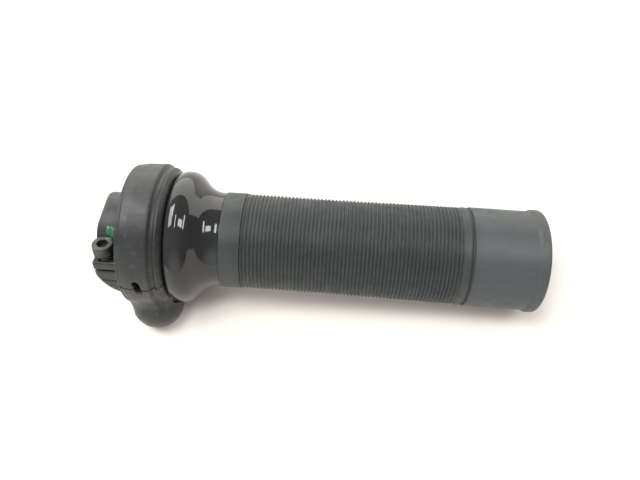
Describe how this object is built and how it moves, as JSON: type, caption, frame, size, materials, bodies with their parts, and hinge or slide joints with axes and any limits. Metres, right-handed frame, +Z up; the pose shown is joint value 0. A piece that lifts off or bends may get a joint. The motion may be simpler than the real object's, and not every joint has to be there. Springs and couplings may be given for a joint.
{
  "type": "throttle grip",
  "caption": "Twist-grip throttle: split clamp, round sensor drum with a cable hood, flared gloss trim and a ribbed rubber sleeve that turns and springs back.",
  "frame": {"origin": "on the handlebar's axis, at the clamp neck's inboard face", "axes": "+X along the handlebar, outboard to the grip's open end; +Y away from the clamp screw's side; +Z up with the hood pointing down and to -Y; positive twist about +X opens the throttle"},
  "size_m": [0.1504, 0.0537, 0.0506],
  "materials": {
    "moulded_black": "fine moulded texture",
    "gloss_black": "polished",
    "soft_rubber": "matte",
    "tube_nylon": "smooth moulded",
    "black_steel": "black oxide",
    "plated_steel": "zinc plated",
    "brass": "turned",
    "white_acetal": "smooth",
    "magnet_plating": "nickel plated",
    "board_green": "solder mask",
    "chip_black": "epoxy"
  },
  "bodies": {
    "housing": {"sensor_housing": "moulded_black", "clamp_screw": "black_steel", "clamp_lock_washer": "plated_steel", "clamp_insert": "brass", "cover_upper": "moulded_black", "cover_lower": "moulded_black", "cable_gland": "soft_rubber", "inboard_bush": "white_acetal", "return_spring": "plated_steel", "spring_anchor": "plated_steel", "sensor_board": "board_green", "hall_sensor_a": "chip_black", "hall_sensor_b": "chip_black", "board_connector": "white_acetal", "thrust_washer": "white_acetal", "lip_seal": "soft_rubber", "retainer_ring": "moulded_black", "retainer_screw_1": "plated_steel", "retainer_screw_2": "plated_steel", "retainer_screw_3": "plated_steel"},
    "twist_grip": {"throttle_tube": "tube_nylon", "magnet_carrier": "tube_nylon", "magnet_a": "magnet_plating", "magnet_b": "magnet_plating", "flare_trim": "gloss_black", "rubber_grip": "soft_rubber"}
  },
  "joints": [
    {"name": "throttle_twist", "type": "hinge", "parent": "housing", "child": "twist_grip", "pos_m": [0.09, 0, 0], "axis": [1, 0, 0], "range_deg": [0, 75], "stiffness_Nm_per_rad": 0.12, "springref_deg": -71.62, "deforming": ["return_spring"]}
  ]
}
